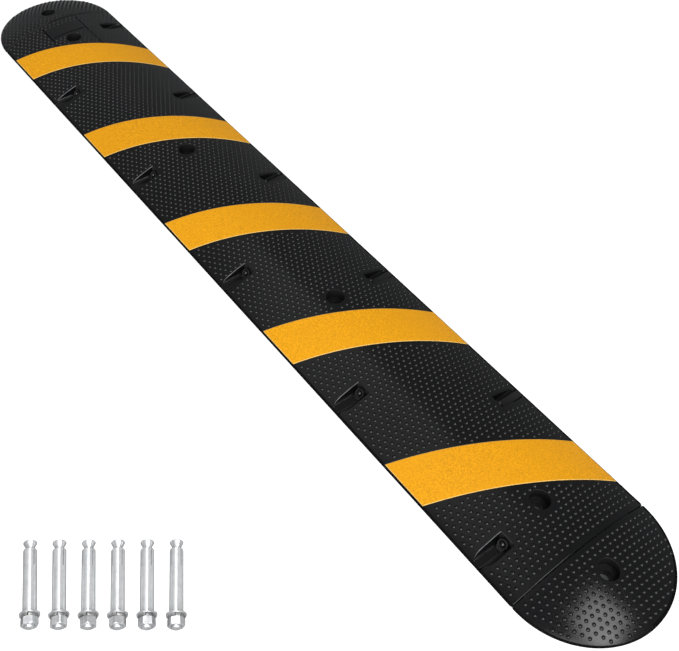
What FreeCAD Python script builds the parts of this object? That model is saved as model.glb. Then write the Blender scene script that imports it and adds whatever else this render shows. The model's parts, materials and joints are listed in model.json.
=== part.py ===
"""Rubber speed bump: one moulded body, two rounded end caps, five yellow strips,
ten cat's-eye beads and six loose expansion anchors lying beside it.

Millimetres, +Z up.  The origin is the middle of the body's underside, +X runs
along the bump (across the road) and traffic crosses it along Y.
"""
import FreeCAD, Part
import math
import os

from FreeCAD import Vector

# ---- driving dimensions -------------------------------------------------------
BODY_LENGTH = 1830.0       # straight middle module
WIDTH = 300.0              # along the traffic direction
HEIGHT = 40.0              # crest above the road
LIP_HEIGHT = 6.0           # upright edge where the ramp starts
SEAM_GAP = 1.2             # open joint between body and end cap
RIM_ROUND = 1.6            # rounding of the crown's edge, all the way round
BODY_CORNER_ROUND = 5.0    # rounding of the body's four plan corners
CAP_CORNER_ROUND = 2.5     # the same on a cap, where it meets the body

HOLE_PITCH = 545.0         # anchor holes along the body's crest
CAP_HOLE_OFFSET = 50.0     # anchor hole of a cap, from the seam
BORE_RADIUS = 8.75
COUNTERBORE_RADIUS = 18.0
COUNTERBORE_FLOOR = 17.0   # height of the washer seat above the road

STRIP_COUNT = 5
STRIP_PITCH = BODY_LENGTH / STRIP_COUNT
STRIP_SLANT = 0.527        # run along X for each mm along Y
STRIP_WIDTH = 98.0         # measured along X
STRIP_END = 148.0          # strips stop this far from the centre line
STRIP_SUNK = 0.8           # depth of the moulded recess under a strip
STRIP_PROUD = 0.4          # how far a strip stands above the rubber

POCKET_OFFSET = 833.0      # X of the last pocket on the -Y side
POCKET_WIDTH = 28.0
POCKET_WALL_Y = 86.0       # inner wall, from the centre line
POCKET_FLOOR = 6.5         # the floor runs out level through the crown near the lip
POCKET_SIDE_ROUND = 9.0    # the side walls curve down into the floor
BOSS_RADIUS = 9.5          # collar that holds a bead
BOSS_TILT = 36.0           # its face looks this many degrees above level
BOSS_FACE_Y = 95.5         # centre of the collar's face
BOSS_FACE_Z = 17.5
BOSS_LENGTH = 16.0
BOSS_DISH_RADIUS = 7.2     # shallow dish round the bead
BOSS_DISH_DEPTH = 1.5
BEAD_RADIUS = 5.0

PAD_X = -867.0             # smooth raised pad beside the far seam
PAD_LENGTH = 44.0
PAD_WIDTH = 96.0
PAD_CORNER = 6.0
PAD_RAISE = 0.9

CELL_PITCH_X = 61.0        # weight-saving cells in the underside
CELL_PITCH_Y = 36.0
CELL_RIB_X = 12.0
CELL_RIB_Y = 8.0
CELL_ROWS = 4
CELL_DEPTH = 12.0
CELL_HOLE_CLEARANCE = 30.0

# M16 x 145 expansion anchor, measured from the cone's end along its axis
ANCHOR_COUNT = 6
STUD_RADIUS = 8.0
STUD_LENGTH = 145.5
STUD_CHAMFER = 1.4
CONE_RADIUS = 11.0
CONE_RIM = 1.5
CONE_END = 11.0
NECK_RADIUS = 6.3
SHANK_START = 22.0
SLEEVE_START = 13.0
SLEEVE_END = 122.5
SLEEVE_RADIUS = 11.0
SLEEVE_BORE = 8.4
SLIT_COUNT = 4
SLIT_WIDTH = 1.8
SLIT_LENGTH = 31.0
WASHER_RADIUS = 16.0
WASHER_BORE = 8.6
WASHER_THICKNESS = 3.0
SPRING_RADIUS = 13.5
SPRING_BORE = 8.5
SPRING_THICKNESS = 4.0
SPRING_SPLIT = 2.0
SPRING_SPLIT_ANGLE = 20.0
NUT_ACROSS_FLATS = 24.0
NUT_THICKNESS = 13.0
NUT_BORE = 8.05
NUT_CHAMFER_ANGLE = 30.0
NUT_TURN = 12.0            # how far each nut is turned from its neighbour

ANCHOR_ROW_START = Vector(450.3, -738.0, 0.0)   # middle of the first anchor
ANCHOR_ROW_HEADING = 54.2                       # direction of the row
ANCHOR_ROW_STEP = 45.8
ANCHOR_HEADING = -25.7                          # cone-to-nut direction of the first
ANCHOR_FAN = -1.14                              # how much more each next one is turned
ANCHOR_MIDDLE = 73.0

# ---- worked-out sizes -----------------------------------------------------------
HALF_WIDTH = WIDTH / 2
RISE = HEIGHT - LIP_HEIGHT
CROWN_RADIUS = (HALF_WIDTH ** 2 + RISE ** 2) / (2 * RISE)
CROWN_CENTRE_Z = HEIGHT - CROWN_RADIUS
BODY_END = (BODY_LENGTH - SEAM_GAP) / 2
CAP_START = (BODY_LENGTH + SEAM_GAP) / 2
ABOVE = HEIGHT + 20.0      # a level clear above the whole bump
UP = Vector(0, 0, 1)
ALONG = Vector(1, 0, 0)


def crown_height(offset, lift=0.0):
    """Height of the crown surface, raised by lift, at a distance from the crest."""
    return CROWN_CENTRE_Z + math.sqrt((CROWN_RADIUS + lift) ** 2 - offset ** 2)


def box_between(low, high):
    size = high - low
    return Part.makeBox(size.x, size.y, size.z, low)


def crown_section(x, lift=0.0):
    """Cross-section in the plane X = x, flat below and an arc above."""
    shoulder = crown_height(HALF_WIDTH, lift)
    corners = [Vector(x, -HALF_WIDTH, shoulder), Vector(x, -HALF_WIDTH, 0),
               Vector(x, HALF_WIDTH, 0), Vector(x, HALF_WIDTH, shoulder)]
    edges = [Part.makeLine(corners[i], corners[i + 1]) for i in range(3)]
    top = Vector(x, 0, crown_height(0, lift))
    edges.append(Part.Arc(corners[3], top, corners[0]).toShape())
    return Part.Face(Part.Wire(edges))


def crown_block(half_length, lift=0.0):
    return crown_section(-half_length, lift).extrude(Vector(2 * half_length, 0, 0))


def edges_where(shape, test):
    """Edges whose middle point passes the test."""
    found = []
    for edge in shape.Edges:
        middle = edge.valueAt((edge.FirstParameter + edge.LastParameter) / 2)
        if test(middle):
            found.append(edge)
    return found


def anchor_hole(x):
    bore = Part.makeCylinder(BORE_RADIUS, ABOVE, Vector(x, 0, -1), UP)
    seat = Part.makeCylinder(COUNTERBORE_RADIUS, ABOVE, Vector(x, 0, COUNTERBORE_FLOOR), UP)
    return bore.fuse(seat)


# ---- the rubber body --------------------------------------------------------------
def body_block():
    block = crown_block(BODY_END)
    corners = edges_where(block, lambda p: abs(p.x) > BODY_END - 0.1
                          and abs(p.y) > HALF_WIDTH - 0.1 and p.z > 0.5)
    block = block.makeFillet(BODY_CORNER_ROUND, corners)
    rim = edges_where(block, lambda p: p.z > LIP_HEIGHT - 0.5)
    return block.makeFillet(RIM_ROUND, rim)


def to_pocket(shape, x, side):
    """Move a shape made for the -Y side at X = 0 to one pocket of either side."""
    placed = shape.copy()
    if side > 0:
        placed.rotate(Vector(0, 0, 0), UP, 180)
    placed.translate(Vector(x, 0, 0))
    return placed


def pocket_tool():
    """Space of one reflector pocket: a round-sided trough, open towards the lip."""
    half = POCKET_WIDTH / 2
    tool = box_between(Vector(-half, -HALF_WIDTH - 5, POCKET_FLOOR),
                       Vector(half, -POCKET_WALL_Y, ABOVE))
    floor_sides = edges_where(tool, lambda p: p.z < POCKET_FLOOR + 0.1 and abs(p.x) > half - 0.1)
    return tool.makeFillet(POCKET_SIDE_ROUND, floor_sides)


def boss_axis():
    tilt = math.radians(BOSS_TILT)
    return Vector(0, -math.cos(tilt), math.sin(tilt))


def two_halves(radius, length, start, axis, turn):
    """Round bar made of two half-round ones, so that no face runs all the way round it."""
    halves = []
    for angle in (turn, turn + 180):
        half = Part.makeCylinder(radius, length, start, axis, 180)
        half.rotate(start, axis, angle)
        halves.append(half)
    return halves[0].fuse(halves[1])


def bead_boss():
    """Tilted round collar that grows out of the pocket's inner wall."""
    axis = boss_axis()
    face = Vector(0, -BOSS_FACE_Y, BOSS_FACE_Z)
    collar = two_halves(BOSS_RADIUS, BOSS_LENGTH, face - axis * BOSS_LENGTH, axis, 0)
    skirt_top = face - axis * BOSS_DISH_DEPTH
    skirt_foot = Vector(0, 1 - BOSS_FACE_Y, POCKET_FLOOR - 1)
    skirt = two_halves(BOSS_RADIUS - 1, ABOVE, skirt_foot, UP, 90)
    below_face = Part.makeBox(4 * BOSS_RADIUS, 4 * BOSS_LENGTH, ABOVE)
    below_face.translate(Vector(-2 * BOSS_RADIUS, -2 * BOSS_LENGTH, -ABOVE))
    below_face.rotate(Vector(0, 0, 0), ALONG, 90 - BOSS_TILT)
    below_face.translate(skirt_top)
    boss = collar.fuse(skirt.common(below_face))
    dish = Part.makeCone(BEAD_RADIUS, BOSS_DISH_RADIUS, BOSS_DISH_DEPTH, skirt_top, axis)
    return boss.cut(dish)


def bead():
    """Glass bead, half sunk in the middle of its collar."""
    centre = Vector(0, -BOSS_FACE_Y, BOSS_FACE_Z) - boss_axis() * BOSS_DISH_DEPTH
    return Part.makeSphere(BEAD_RADIUS, centre)


def pocket_places():
    """(name, X, side) of the ten pockets: five to each side, half a turn apart."""
    places = []
    for number in range(STRIP_COUNT):
        x = POCKET_OFFSET - (STRIP_COUNT - 1 - number) * STRIP_PITCH
        places.append(("left_%d" % (number + 1), x, -1))
        places.append(("right_%d" % (STRIP_COUNT - number), -x, 1))
    return places


def strip(number):
    """One yellow strip: a slanting band of the crown, a little proud of it."""
    centre_x = (number - (STRIP_COUNT - 1) / 2) * STRIP_PITCH
    run = STRIP_SLANT * STRIP_END
    half = STRIP_WIDTH / 2
    plan = [(centre_x - run - half, -STRIP_END), (centre_x - run + half, -STRIP_END),
            (centre_x + run + half, STRIP_END), (centre_x + run - half, STRIP_END)]
    outline = Part.makePolygon([Vector(x, y, 0) for x, y in plan + plan[:1]])
    prism = Part.Face(outline).extrude(Vector(0, 0, ABOVE))
    band = prism.common(crown_block(BODY_END, STRIP_PROUD))
    return band.cut(crown_block(BODY_END, -STRIP_SUNK))


def underside_cells(hole_places):
    """Rows of shallow cells that save rubber, clear of the anchor holes."""
    cells = []
    columns = int(BODY_LENGTH / CELL_PITCH_X)
    for column in range(columns):
        x = (column - (columns - 1) / 2) * CELL_PITCH_X
        for row in range(CELL_ROWS):
            y = (row - (CELL_ROWS - 1) / 2) * CELL_PITCH_Y
            half = Vector((CELL_PITCH_X - CELL_RIB_X) / 2, (CELL_PITCH_Y - CELL_RIB_Y) / 2, 0)
            centre = Vector(x, y, 0)
            reach = [math.hypot(max(abs(x - hole) - half.x, 0), max(abs(y) - half.y, 0))
                     for hole in hole_places]
            if min(reach) > CELL_HOLE_CLEARANCE - BORE_RADIUS:
                cells.append(box_between(centre - half - UP, centre + half + UP * CELL_DEPTH))
    return cells


def smooth_pad():
    """Plain rounded rectangle, a little proud of the crown."""
    half = Vector(PAD_LENGTH / 2, PAD_WIDTH / 2, 0)
    centre = Vector(PAD_X, 0, 0)
    pad = box_between(centre - half + UP * HEIGHT / 2, centre + half + UP * ABOVE)
    corners = edges_where(pad, lambda p: HEIGHT / 2 + 1 < p.z < ABOVE - 1)
    pad = pad.makeFillet(PAD_CORNER, corners)
    return pad.common(crown_block(BODY_END, PAD_RAISE))


def build_body(strips):
    hole_places = [(index - 1.5) * HOLE_PITCH for index in range(4)]
    body = body_block().fuse(smooth_pad())
    body = body.cut([anchor_hole(x) for x in hole_places])
    places = pocket_places()
    body = body.cut([to_pocket(pocket_tool(), x, side) for _, x, side in places])
    body = body.fuse([to_pocket(bead_boss(), x, side) for _, x, side in places])
    body = body.cut([to_pocket(bead(), x, side) for _, x, side in places])
    body = body.cut(strips)
    return body.cut(underside_cells(hole_places))


# ---- the end caps -------------------------------------------------------------------
def build_cap(side):
    """Half-dome with the body's own profile, closed by an anchor hole."""
    profile = [Vector(0, 0, 0), Vector(HALF_WIDTH, 0, 0), Vector(HALF_WIDTH, 0, LIP_HEIGHT)]
    edges = [Part.makeLine(profile[0], profile[1]), Part.makeLine(profile[1], profile[2])]
    middle = Vector(HALF_WIDTH / 2, 0, crown_height(HALF_WIDTH / 2))
    edges.append(Part.Arc(profile[2], middle, Vector(0, 0, HEIGHT)).toShape())
    edges.append(Part.makeLine(Vector(0, 0, HEIGHT), profile[0]))
    face = Part.Face(Part.Wire(edges))
    dome = face.revolve(Vector(0, 0, 0), UP, 180)
    dome.rotate(Vector(0, 0, 0), UP, -90)
    corners = edges_where(dome, lambda p: p.x < 0.1 and abs(p.y) > HALF_WIDTH - 0.1 and p.z > 0.5)
    dome = dome.makeFillet(CAP_CORNER_ROUND, corners)
    rim = edges_where(dome, lambda p: p.z > LIP_HEIGHT - 0.5 and math.hypot(p.x, p.y) > 1)
    dome = dome.makeFillet(RIM_ROUND, rim)
    dome.translate(Vector(CAP_START, 0, 0))
    cap = dome.cut(anchor_hole(BODY_LENGTH / 2 + CAP_HOLE_OFFSET))
    if side < 0:
        cap.rotate(Vector(0, 0, 0), UP, 180)
    return cap


# ---- the expansion anchors, made along +X from the cone's end --------------------------
def turned(points):
    """Solid of revolution about the X axis from (x, radius) points."""
    outline = [Vector(x, 0, r) for x, r in points]
    face = Part.Face(Part.makePolygon(outline + outline[:1]))
    return face.revolve(Vector(0, 0, 0), ALONG, 360)


def ring(start, thickness, outer, bore):
    return turned([(start, bore), (start, outer), (start + thickness, outer), (start + thickness, bore)])


def cone_stud():
    return turned([(0, 0), (0, CONE_RADIUS), (CONE_RIM, CONE_RADIUS), (CONE_END, NECK_RADIUS),
                   (SHANK_START, NECK_RADIUS), (SHANK_START + 1, STUD_RADIUS),
                   (STUD_LENGTH - STUD_CHAMFER, STUD_RADIUS),
                   (STUD_LENGTH, STUD_RADIUS - STUD_CHAMFER), (STUD_LENGTH, 0)])


def expansion_sleeve():
    sleeve = ring(SLEEVE_START, SLEEVE_END - SLEEVE_START, SLEEVE_RADIUS, SLEEVE_BORE)
    for index in range(SLIT_COUNT):
        slit = box_between(Vector(0, -SLIT_WIDTH / 2, 0),
                           Vector(SLEEVE_START + SLIT_LENGTH, SLIT_WIDTH / 2, 2 * SLEEVE_RADIUS))
        slit.rotate(Vector(0, 0, 0), ALONG, 45 + index * 360 / SLIT_COUNT)
        sleeve = sleeve.cut(slit)
    return sleeve


def spring_washer():
    start = SLEEVE_END + WASHER_THICKNESS
    washer = ring(start, SPRING_THICKNESS, SPRING_RADIUS, SPRING_BORE)
    middle = start + SPRING_THICKNESS / 2
    split = box_between(Vector(middle - SPRING_THICKNESS, -SPRING_SPLIT / 2, 0),
                        Vector(middle + SPRING_THICKNESS, SPRING_SPLIT / 2, 2 * SPRING_RADIUS))
    split.rotate(Vector(middle, 0, 0), UP, SPRING_SPLIT_ANGLE)
    return washer.cut(split)


def hex_nut(turn):
    start = SLEEVE_END + WASHER_THICKNESS + SPRING_THICKNESS
    corner = NUT_ACROSS_FLATS / math.sqrt(3)
    points = []
    for index in range(7):
        angle = math.radians(60 * index + turn)
        points.append(Vector(start, corner * math.cos(angle), corner * math.sin(angle)))
    prism = Part.Face(Part.makePolygon(points)).extrude(Vector(NUT_THICKNESS, 0, 0))
    flat = NUT_ACROSS_FLATS / 2
    drop = (corner - flat) * math.tan(math.radians(NUT_CHAMFER_ANGLE))
    end = start + NUT_THICKNESS
    envelope = turned([(start, 0), (start, flat), (start + drop, corner), (end - drop, corner),
                       (end, flat), (end, 0)])
    bore = Part.makeCylinder(NUT_BORE, 2 * NUT_THICKNESS, Vector(start - 1, 0, 0), ALONG)
    return prism.common(envelope).cut(bore)


def lay_down(shape, number):
    """Rest an anchor on its cone rim and washer edge, in its place in the row."""
    lean = math.atan2(WASHER_RADIUS - CONE_RADIUS, SLEEVE_END)
    placed = shape.copy()
    placed.rotate(Vector(0, 0, 0), Vector(0, 1, 0), -math.degrees(lean))
    placed.translate(Vector(-ANCHOR_MIDDLE, 0, CONE_RADIUS * math.cos(lean)))
    placed.rotate(Vector(0, 0, 0), UP, ANCHOR_HEADING + ANCHOR_FAN * number)
    row = math.radians(ANCHOR_ROW_HEADING)
    step = Vector(math.cos(row), math.sin(row), 0) * (ANCHOR_ROW_STEP * number)
    placed.translate(ANCHOR_ROW_START + step)
    return placed


# ---- write one file for each node --------------------------------------------------------
nodes = {}
strips = [strip(number) for number in range(STRIP_COUNT)]
nodes["bump_body"] = build_body(strips)
nodes["end_cap_near"] = build_cap(1)
nodes["end_cap_far"] = build_cap(-1)
for number, shape in enumerate(strips):
    nodes["yellow_strip_%d" % (number + 1)] = shape
for name, x, side in pocket_places():
    nodes["cat_eye_bead_" + name] = to_pocket(bead(), x, side)
for number in range(ANCHOR_COUNT):
    pieces = {"cone_stud": cone_stud(), "expansion_sleeve": expansion_sleeve(),
              "flat_washer": ring(SLEEVE_END, WASHER_THICKNESS, WASHER_RADIUS, WASHER_BORE),
              "spring_washer": spring_washer(), "hex_nut": hex_nut(NUT_TURN * number)}
    for piece, shape in pieces.items():
        nodes["anchor_%d_%s" % (number + 1, piece)] = lay_down(shape, number)

os.makedirs("parts", exist_ok=True)
for name, shape in nodes.items():
    shape.exportStep("parts/%s.step" % name)
    box = shape.BoundBox
    print("%-28s solids %d valid %s volume %.0f  z %.3f..%.3f" % (
        name, len(shape.Solids), shape.isValid(), shape.Volume, box.ZMin, box.ZMax))
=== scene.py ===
import json
import math

import bmesh
import bpy
from mathutils import Matrix, Vector


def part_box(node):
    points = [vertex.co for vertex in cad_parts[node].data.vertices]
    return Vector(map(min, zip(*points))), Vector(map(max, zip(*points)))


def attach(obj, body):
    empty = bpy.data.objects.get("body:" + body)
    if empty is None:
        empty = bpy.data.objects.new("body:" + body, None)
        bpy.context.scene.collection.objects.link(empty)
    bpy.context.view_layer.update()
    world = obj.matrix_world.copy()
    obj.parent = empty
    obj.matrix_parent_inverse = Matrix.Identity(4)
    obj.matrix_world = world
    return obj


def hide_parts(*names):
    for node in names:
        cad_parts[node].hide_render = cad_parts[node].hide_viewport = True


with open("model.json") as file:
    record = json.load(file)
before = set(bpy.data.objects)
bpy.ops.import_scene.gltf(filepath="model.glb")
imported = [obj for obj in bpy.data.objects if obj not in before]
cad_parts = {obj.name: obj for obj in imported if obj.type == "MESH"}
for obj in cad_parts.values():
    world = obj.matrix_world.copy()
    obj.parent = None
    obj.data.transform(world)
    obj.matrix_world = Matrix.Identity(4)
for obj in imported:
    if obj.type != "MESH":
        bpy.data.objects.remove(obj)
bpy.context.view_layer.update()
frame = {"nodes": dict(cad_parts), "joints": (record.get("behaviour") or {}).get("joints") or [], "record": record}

MM = 0.001
nodes = frame["nodes"]
record = frame["record"]


def box_mm(node):
    low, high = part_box(node)
    return low / MM, high / MM


# ---- sizes in millimetres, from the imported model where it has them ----
_, body_high = box_mm("bump_body")
near_low, near_high = box_mm("end_cap_near")
BODY_END = body_high.x
HALF_WIDTH = body_high.y
HEIGHT = near_high.z
CAP_START = near_low.x
SEAM_HALF_GAP = 0.6
LIP_HEIGHT = 6.0
CUT_TOP = HEIGHT + 15       # where cutters end, clear above everything
RISE = HEIGHT - LIP_HEIGHT
CROWN_RADIUS = (HALF_WIDTH ** 2 + RISE ** 2) / (2 * RISE)

RIM_ROUND = 1.6
BODY_CORNER = 5.0
CAP_CORNER = 2.5

SEAT_RADIUS = 18.0
SEAT_FLOOR = 17.0
BORE_RADIUS = 8.75

POCKET_WIDTH = 28.0
POCKET_WALL = 86.0
POCKET_FLOOR = 6.5
POCKET_SIDE_ROUND = 9.0
POCKET_BACK_ROUND = 2.0
POCKET_CRISP_RIM = 1.5     # rounding of the two long rims, as a share of FLARE
POCKET_SOFT_RIM = 4.5

COLLAR_RADIUS = 9.5
COLLAR_TILT = math.radians(36)
COLLAR_DISH = 1.5
COLLAR_LENGTH = 17.0
COLLAR_FACE_Y = 95.5
COLLAR_FACE_Z = 17.5
DISH_RADIUS = 7.4
SOCKET_DEPTH = 5.6         # hole behind the dish that holds the bead
SOCKET_TAPER = 1.4
BEAD_RADIUS = 5.0

STRIP_SLANT = 0.527
STRIP_WIDTH = 98.0
STRIP_END = 148.0
STRIP_SUNK = 0.8
STRIP_PROUD = 0.4
STRIP_GAP = 0.5
STRIP_ROWS = 96

STUD_HEIGHT = 2.1
STUD_CURVE = 3.75
STUD_RADIUS = 3.3
STUD_SUNK = 0.3
STUD_SLOPES = (64, 53, 42, 31, 20, 9)     # of its domed top, in degrees
STUD_SEGMENTS = 12
STUD_COLUMN = 10.5
STUD_PITCH = 11.7

PAD_CENTRE = -867.0
PAD_LENGTH = 44.0
PAD_WIDTH = 96.0
PAD_CORNER = 6.0
PAD_RAISE = 0.9

CELL_PITCH_X = 61.0
CELL_PITCH_Y = 36.0
CELL_RIB_X = 12.0
CELL_RIB_Y = 8.0
CELL_DEPTH = 12.0
CELL_ROWS = 4
CELL_CLEARANCE = 22.0

hole_x = []
cap_hole_x = 0.0
for mount in record["mounts"]:
    if mount["kind"] == "bolt_pattern":
        reach = mount["dims"]["spacing_x_mm"] / 2
        if reach < BODY_END:
            hole_x += [-reach, reach]
        else:
            cap_hole_x = reach

pockets = []
for name in sorted(nodes):
    if name.startswith("cat_eye_bead_"):
        low, high = box_mm(name)
        pockets.append((name, (low.x + high.x) / 2, 1 if low.y > 0 else -1))

strips = []
for name in sorted(nodes):
    if name.startswith("yellow_strip_"):
        low, high = box_mm(name)
        strips.append((name, (low.x + high.x) / 2))


# ---- surfaces ----
def crown(offset):
    """Height of the top over the floor, at a distance from the crest line."""
    return HEIGHT - CROWN_RADIUS + math.sqrt(CROWN_RADIUS ** 2 - offset ** 2)


def top_z(x, y):
    """Height of the top at a point of the plan, on the body or on a cap."""
    return crown(math.hypot(max(abs(x) - CAP_START, 0), y))


def top_normal(x, y):
    """Unit vector out of the top at a point of the plan."""
    across = Vector((math.copysign(max(abs(x) - CAP_START, 0), x), y, 0))
    return Vector((across.x, across.y, math.sqrt(CROWN_RADIUS ** 2 - across.length ** 2))).normalized()


def rounding(radius, steps):
    """(distance in, drop) of points down a quarter-round edge, from its outside to its top."""
    points = []
    for step in range(steps + 1):
        angle = math.radians(90 * step / steps)
        points.append((radius * (1 - math.cos(angle)), radius * (1 - math.sin(angle))))
    return points


def rim_drop(distance):
    inside = max(RIM_ROUND - distance, 0)
    return RIM_ROUND - math.sqrt(max(RIM_ROUND ** 2 - inside ** 2, 0))


# ---- mesh helpers ----
def make_object(name, points, faces):
    mesh = bpy.data.meshes.new(name)
    mesh.from_pydata([(p[0] * MM, p[1] * MM, p[2] * MM) for p in points], [], faces)
    piece = bpy.data.objects.new(name, mesh)
    bpy.context.scene.collection.objects.link(piece)
    face_outward(mesh)
    return piece


def face_outward(mesh):
    work = bmesh.new()
    work.from_mesh(mesh)
    bmesh.ops.recalc_face_normals(work, faces=work.faces)
    work.to_mesh(mesh)
    work.free()


def merged(shells):
    """One list of points and faces from several."""
    points, faces = [], []
    for shell_points, shell_faces in shells:
        start = len(points)
        points += shell_points
        faces += [tuple(start + index for index in face) for face in shell_faces]
    return points, faces


def bands(rings):
    """Faces between neighbouring closed rings of point numbers; a ring may be one point."""
    faces = []
    for lower, upper in zip(rings, rings[1:]):
        count = max(len(lower), len(upper))
        for index in range(count):
            after = (index + 1) % count
            if len(lower) == 1:
                faces.append((lower[0], upper[after], upper[index]))
            elif len(upper) == 1:
                faces.append((lower[index], lower[after], upper[0]))
            else:
                faces.append((lower[index], lower[after], upper[after], upper[index]))
    return faces


def numbered(rings):
    """The points of rings of equal length in one list, and the rings as numbers into it."""
    count = len(rings[0])
    points = [point for ring in rings for point in ring]
    return points, [range(start, start + count) for start in range(0, len(points), count)]


def loft(rings):
    """Closed shell through rings of equal length, with its first and last ring filled in."""
    points, numbers = numbered(rings)
    return points, [tuple(numbers[0])] + bands(numbers) + [tuple(numbers[-1])]


def closed_tube(rings):
    """Closed shell through rings of equal length, with its last ring joined to its first."""
    points, numbers = numbered(rings)
    return points, bands(numbers + numbers[:1])


def circle(place, radius, along, segments):
    """Points of a circle about the Z axis of a place."""
    turns = [2 * math.pi * index / segments for index in range(segments)]
    return [place @ Vector((radius * math.cos(turn), radius * math.sin(turn), along)) for turn in turns]


def lathe(profile, place, segments):
    """Shell of revolution from (along, radius) points; ends at radius 0 close to a point."""
    rings, points = [], []
    for along, radius in profile:
        ring = circle(place, radius, along, segments if radius else 1)
        rings.append(range(len(points), len(points) + len(ring)))
        points += ring
    return points, bands(rings)


def combine(piece, operation, shells):
    """Cut separate shells out of a piece, or add them to it."""
    tool = make_object("tool", *merged(shells))
    change = piece.modifiers.new("change", "BOOLEAN")
    change.operation = operation
    change.solver = "MANIFOLD"
    change.object = tool
    bpy.context.view_layer.update()
    graph = bpy.context.evaluated_depsgraph_get()
    result = bpy.data.meshes.new_from_object(piece.evaluated_get(graph))
    piece.modifiers.clear()
    piece.data = result
    bpy.data.objects.remove(tool)


def add_shells(piece, shells):
    """Join more closed shells to a piece's mesh."""
    extra = bpy.data.meshes.new("extra")
    points, faces = merged(shells)
    extra.from_pydata([(p[0] * MM, p[1] * MM, p[2] * MM) for p in points], [], faces)
    face_outward(extra)
    work = bmesh.new()
    work.from_mesh(piece.data)
    work.from_mesh(extra)
    work.to_mesh(piece.data)
    work.free()


def finish_piece(piece, body, materials, replaced, sharp=32):
    """Shading, materials and the body and CAD node that a piece belongs to."""
    mesh = piece.data
    mesh.materials.clear()
    for material in materials:
        mesh.materials.append(material)
    mesh.shade_smooth()
    mesh.set_sharp_from_angle(angle=math.radians(sharp))
    weighted = piece.modifiers.new("even_shading", "WEIGHTED_NORMAL")
    weighted.keep_sharp = True
    weighted.weight = 80
    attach(piece, body)
    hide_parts(replaced)
    return piece


# ---- materials ----
ANCHOR_HEADING = math.radians(-28.5)


class Paint:
    """A node material with a Principled shader, and short ways to add texture nodes to it."""

    def __init__(self, name, **values):
        self.material = bpy.data.materials.new(name)
        self.material.use_nodes = True
        self.tree = self.material.node_tree
        self.shader = self.tree.nodes["Principled BSDF"]
        self.fill(self.shader, values)
        self.place = self.node("TexCoord").outputs["Object"]

    def fill(self, node, values):
        """Set some inputs of a node, their names written with _ for a space."""
        for socket, value in values.items():
            node.inputs[socket.replace("_", " ")].default_value = value
        return node

    def node(self, kind, **values):
        return self.fill(self.tree.nodes.new("ShaderNode" + kind), values)

    def link(self, source, target):
        self.tree.links.new(source, target)

    def stretched(self, x, y, z, turn=0.0):
        """The object's coordinates, turned about Z and then scaled, for streaks."""
        node = self.node("Mapping", Scale=(1 / x, 1 / y, 1 / z), Rotation=(0, 0, turn))
        node.vector_type = "TEXTURE"
        self.link(self.place, node.inputs["Vector"])
        return node.outputs["Vector"]

    def noise(self, scale, detail=3.0, roughness=0.55, where=None):
        node = self.node("TexNoise", Scale=scale, Detail=detail, Roughness=roughness)
        self.link(where or self.place, node.inputs["Vector"])
        return node.outputs["Fac"]

    def cells(self, scale, output="Distance"):
        node = self.node("TexVoronoi", Scale=scale)
        self.link(self.place, node.inputs["Vector"])
        return node.outputs[output]

    def ramp(self, source, *stops):
        """Colour ramp through (position, colour) stops; a number is a grey."""
        node = self.node("ValToRGB")
        elements = node.color_ramp.elements
        while len(elements) < len(stops):
            elements.new(0.5)
        for element, (position, colour) in zip(elements, stops):
            element.position = position
            grey = isinstance(colour, (int, float))
            element.color = (colour, colour, colour, 1) if grey else (*colour, 1)
        self.link(source, node.inputs["Fac"])
        return node.outputs["Color"]

    def span(self, source, low, high, out_low, out_high):
        """A number between two limits, following the source between its own two."""
        node = self.node("MapRange", From_Min=low, From_Max=high, To_Min=out_low, To_Max=out_high)
        self.link(source, node.inputs["Value"])
        return node.outputs["Result"]

    def math(self, operation, first, second):
        node = self.node("Math")
        node.operation = operation
        for socket, value in zip(node.inputs, (first, second)):
            if isinstance(value, (int, float)):
                socket.default_value = value
            else:
                self.link(value, socket)
        return node.outputs["Value"]

    def mix(self, share, first, second, blend="MIX"):
        node = self.node("Mix")
        node.data_type = "RGBA"
        node.blend_type = blend
        if isinstance(share, (int, float)):
            node.inputs[0].default_value = share
        else:
            self.link(share, node.inputs[0])
        for index, value in ((6, first), (7, second)):
            if isinstance(value, tuple):
                node.inputs[index].default_value = (*value, 1)
            else:
                self.link(value, node.inputs[index])
        return node.outputs[2]

    def bump(self, height, strength, distance, under=None):
        node = self.node("Bump", Strength=strength, Distance=distance)
        self.link(height, node.inputs["Height"])
        if under is not None:
            self.link(under, node.inputs["Normal"])
        return node.outputs["Normal"]

    def wire(self, colour=None, roughness=None, normal=None):
        for source, socket in ((colour, "Base Color"), (roughness, "Roughness"), (normal, "Normal")):
            if source is not None:
                self.link(source, self.shader.inputs[socket])
        return self.material


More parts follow.
